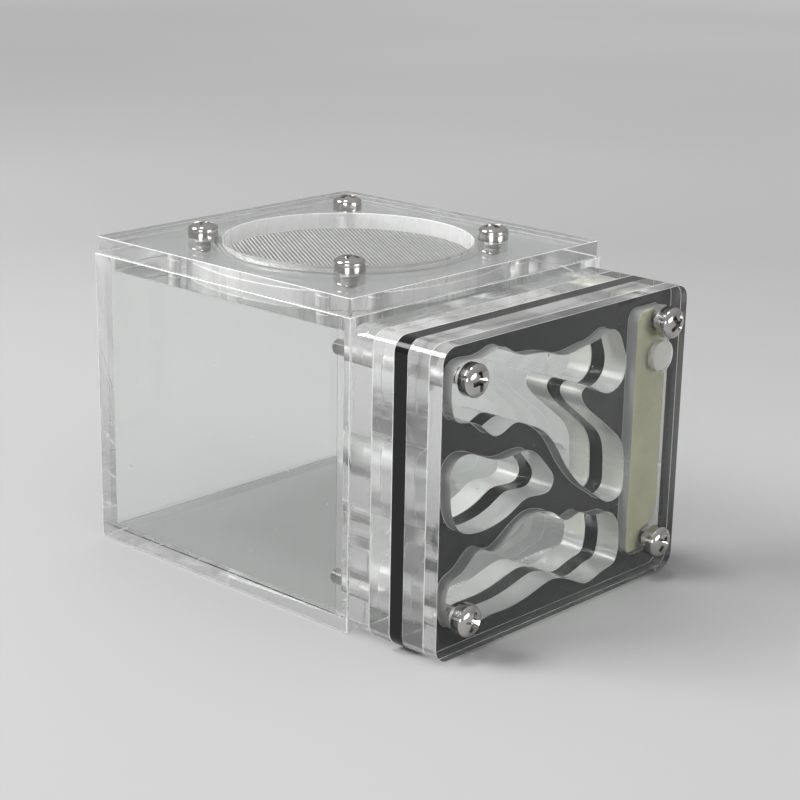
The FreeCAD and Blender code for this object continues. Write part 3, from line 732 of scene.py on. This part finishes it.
def woven_wire():
    """Dull drawn wire, too fine to show single scratches."""
    material, tree, output = new_material("woven_steel_wire")
    patches = noise_on_object(tree, scale=300.0, detail=3.0)
    dull = remap(tree, patches, *MOST_OF_NOISE, WIRE_BRIGHT, WIRE_DULL)
    drawn = noise_on_object(tree, scale=6000.0, detail=1.0)
    shader = node(tree, "ShaderNodeBsdfPrincipled",
                  {"Roughness": dull,
                   "Normal": bump(tree, drawn, strength=0.2, depth=DRAWN_DEPTH)},
                  {"Base Color": WIRE_COLOUR, "Metallic": 0.6})
    tree.links.new(shader.outputs[0], output.inputs["Surface"])
    return material


# %% Bent wire
WIRE_RADIUS = 0.095 * MM
WIRE_PITCH = 0.55 * MM
WIRE_SIDES = 4
STEPS_PER_PITCH = 3


def bent_wire(bm, row, reach):
    """One wire along X at its row, waving over and under the crossing ones."""
    wire = bmesh.new()
    lie = Matrix.Rotation(math.radians(90), 4, "Y")
    bmesh.ops.create_cone(wire, cap_ends=True, segments=WIRE_SIDES, radius1=WIRE_RADIUS,
                          radius2=WIRE_RADIUS, depth=2 * reach, matrix=lie)
    long_edges = [edge for edge in wire.edges if edge.calc_length() > reach]
    steps = max(2, round(2 * reach / WIRE_PITCH * STEPS_PER_PITCH))
    bmesh.ops.subdivide_edges(wire, edges=long_edges, cuts=steps - 1, use_grid_fill=True)
    for vert in wire.verts:
        vert.co.z += WIRE_RADIUS * math.cos(math.pi * (vert.co.x / WIRE_PITCH + row))
        vert.co.y += row * WIRE_PITCH
    mesh = bpy.data.meshes.new("wire")
    wire.to_mesh(mesh)
    wire.free()
    bm.from_mesh(mesh)
    bpy.data.meshes.remove(mesh)


# %% Weave
WEAVE_TURN = math.radians(12)
WIRE = woven_wire()


def woven_layer(name, turn, replaced):
    """All wires of one direction, cut to the round outline of the disc."""
    low, high = (Vector(corner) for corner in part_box("vent_mesh"))
    radius = (high.x - low.x) / 2 - WIRE_RADIUS
    rows = int(radius / WIRE_PITCH)
    bm = bmesh.new()
    for row in range(-rows, rows + 1):
        reach = math.sqrt(radius ** 2 - (row * WIRE_PITCH) ** 2)
        bent_wire(bm, row, max(reach, WIRE_PITCH))
    lie = Matrix.Rotation(WEAVE_TURN, 4, "Z") @ turn
    bmesh.ops.transform(bm, matrix=Matrix.Translation((low + high) / 2) @ lie, verts=bm.verts)
    for face in bm.faces:
        face.smooth = True
    piece = finish_piece(bm, name, "lid", [WIRE], replaced)
    print(name, 2 * rows + 1, "wires,", len(piece.data.polygons), "faces")


woven_layer("vent_mesh_warp", Matrix.Identity(4), ["vent_mesh"])
woven_layer("vent_mesh_weft",
            Matrix.Rotation(math.radians(90), 4, "Z") @ Matrix.Scale(-1, 4, (0, 0, 1)),
            ["vent_mesh"])

# %% [markdown]
# ## Hydration pad
#
# A strip of damp sponge stands in the slot and keeps the nest moist. A cloth simulation would
# suit a cushion, but a strip cut from sponge doesn't billow. So its mesh starts from the frame's
# solid: a voxel remesh gives even faces, smoothing rounds the cut edges, and small dents at the
# centres of a Voronoi pattern's cells make the pores. Its upper half is wetter through the port,
# so it swells there by what the smoothing took off, and still stays in its slot.

# %% Sponge finish
SPONGE_DEEP, SPONGE_PALE = (0.65, 0.65, 0.44, 1.0), (0.79, 0.77, 0.58, 1.0)
SPONGE_WET, SPONGE_DRY = 0.45, 0.8
CELL_DEPTH = 0.06 * MM


def damp_sponge():
    """Cells too small to model, in patches of two colours, wetter and drier."""
    material, tree, output = new_material("damp_sponge")
    place = node(tree, "ShaderNodeTexCoord")
    cells = node(tree, "ShaderNodeTexVoronoi", {"Vector": place.outputs["Object"]},
                 {"Scale": 2600.0}).outputs["Distance"]
    patches = noise_on_object(tree, scale=160.0, detail=3.0)
    share = remap(tree, patches, *MOST_OF_NOISE, 0.0, 1.0)
    colour = node(tree, "ShaderNodeMix", {"Factor": share}, data_type="RGBA")
    colour.inputs["A"].default_value = SPONGE_DEEP
    colour.inputs["B"].default_value = SPONGE_PALE
    shader = node(tree, "ShaderNodeBsdfPrincipled",
                  {"Base Color": colour.outputs["Result"],
                   "Roughness": remap(tree, patches, *MOST_OF_NOISE, SPONGE_WET, SPONGE_DRY),
                   "Normal": bump(tree, cells, strength=0.5, depth=CELL_DEPTH)},
                  {"Subsurface Weight": 0.5, "Subsurface Scale": 1.5 * MM,
                   "Subsurface Radius": (1.0, 1.0, 0.8)})
    tree.links.new(shader.outputs[0], output.inputs["Surface"])
    return material


# %% Sponge
PAD_VOXEL = 0.28 * MM
PAD_SMOOTHINGS = 8
PORE_SPACING = 0.95 * MM
PORE_DEPTH, PORE_NARROWNESS = 0.16 * MM, 2.4
BULGE_START, BULGE_FULL, BULGE = 22.0 * MM, 34.0 * MM, 0.3 * MM


def sponge_pad():
    """The frame's solid with rounded edges, pores and a swollen upper half."""
    bm = merged_copy("hydration_pad")
    rough = bpy.data.meshes.new("pad_rough")
    bm.to_mesh(rough)
    bm.free()
    model = bpy.data.objects.new("pad_rough", rough)
    scene.collection.objects.link(model)
    grid = model.modifiers.new("even_faces", "REMESH")
    grid.mode, grid.voxel_size = "VOXEL", PAD_VOXEL
    soft = model.modifiers.new("rounded", "SMOOTH")
    soft.iterations = PAD_SMOOTHINGS
    even = bpy.data.meshes.new_from_object(model.evaluated_get(
        bpy.context.evaluated_depsgraph_get()))
    bpy.data.objects.remove(model)
    bm = bmesh.new()
    bm.from_mesh(even)
    bm.normal_update()
    for vert in bm.verts:
        cell = noise.voronoi(vert.co / PORE_SPACING)[0][0]
        rise = (vert.co.z - BULGE_START) / (BULGE_FULL - BULGE_START)
        vert.co.x += max(0.0, vert.normal.x) * BULGE * min(max(rise, 0.0), 1.0)
        vert.co -= vert.normal * PORE_DEPTH * max(0.0, 1 - cell * PORE_NARROWNESS)
    for face in bm.faces:
        face.smooth = True
    piece = finish_piece(bm, "hydration_sponge", "box", [damp_sponge()],
                         ["hydration_pad"])
    print(piece.name, len(piece.data.polygons), "faces")


sponge_pad()

# %% [markdown]
# ## Water port plug
#
# A small silicone stopper closes the hole through which the sponge is wetted. It is a short
# cylinder with soft rims, and its outer face is dished, so that a fingernail can lift it. A spun
# profile would make it too, but two insets of a cylinder's end do with fewer numbers.

# %% Silicone finish
SILICONE_COLOUR = (0.46, 0.47, 0.43, 1.0)
SILICONE_SMOOTH, SILICONE_DULL = 0.3, 0.5
SILICONE_RELIEF = 0.02 * MM


def milky_silicone():
    """Soft rubber that lets light a little way in."""
    material, tree, output = new_material("milky_silicone")
    haze = noise_on_object(tree, scale=500.0, detail=3.0)
    shader = node(tree, "ShaderNodeBsdfPrincipled",
                  {"Roughness": remap(tree, haze, *MOST_OF_NOISE, SILICONE_SMOOTH, SILICONE_DULL),
                   "Normal": bump(tree, haze, strength=0.2, depth=SILICONE_RELIEF)},
                  {"Base Color": SILICONE_COLOUR, "Subsurface Weight": 0.6,
                   "Subsurface Scale": 1.2 * MM, "Subsurface Radius": (1.0, 1.0, 0.9)})
    tree.links.new(shader.outputs[0], output.inputs["Surface"])
    return material


# %% Plug
PLUG_SIDES = 64
DISH_RIM, DISH_DEPTH, PLUG_ROUNDING = 0.7 * MM, 0.3 * MM, 0.25 * MM


def port_plug():
    """A stopper that fills the frame's plug, with its outer face dished."""
    low, high = (Vector(corner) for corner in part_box("water_port_plug"))
    radius = (high.x - low.x) / 2
    bm = bmesh.new()
    place = Matrix.Translation((low + high) / 2) @ Matrix.Rotation(math.radians(90), 4, "X")
    bmesh.ops.create_cone(bm, cap_ends=True, segments=PLUG_SIDES, radius1=radius, radius2=radius,
                          depth=high.y - low.y, matrix=place)
    front = min(bm.faces, key=lambda face: face.calc_center_median().y)
    bmesh.ops.inset_region(bm, faces=[front], thickness=DISH_RIM)
    bmesh.ops.translate(bm, verts=front.verts, vec=(0, DISH_DEPTH, 0))
    bmesh.ops.inset_region(bm, faces=[front], thickness=DISH_RIM, depth=-DISH_DEPTH / 3)
    smooth_between_sharp_edges(bm)
    piece = finish_piece(bm, "water_port_stopper", "plug", [milky_silicone()],
                         ["water_port_plug"])
    break_edges(piece, PLUG_ROUNDING)
    print(piece.name, "front at y, mm:", round(low.y / MM, 2))


port_plug()
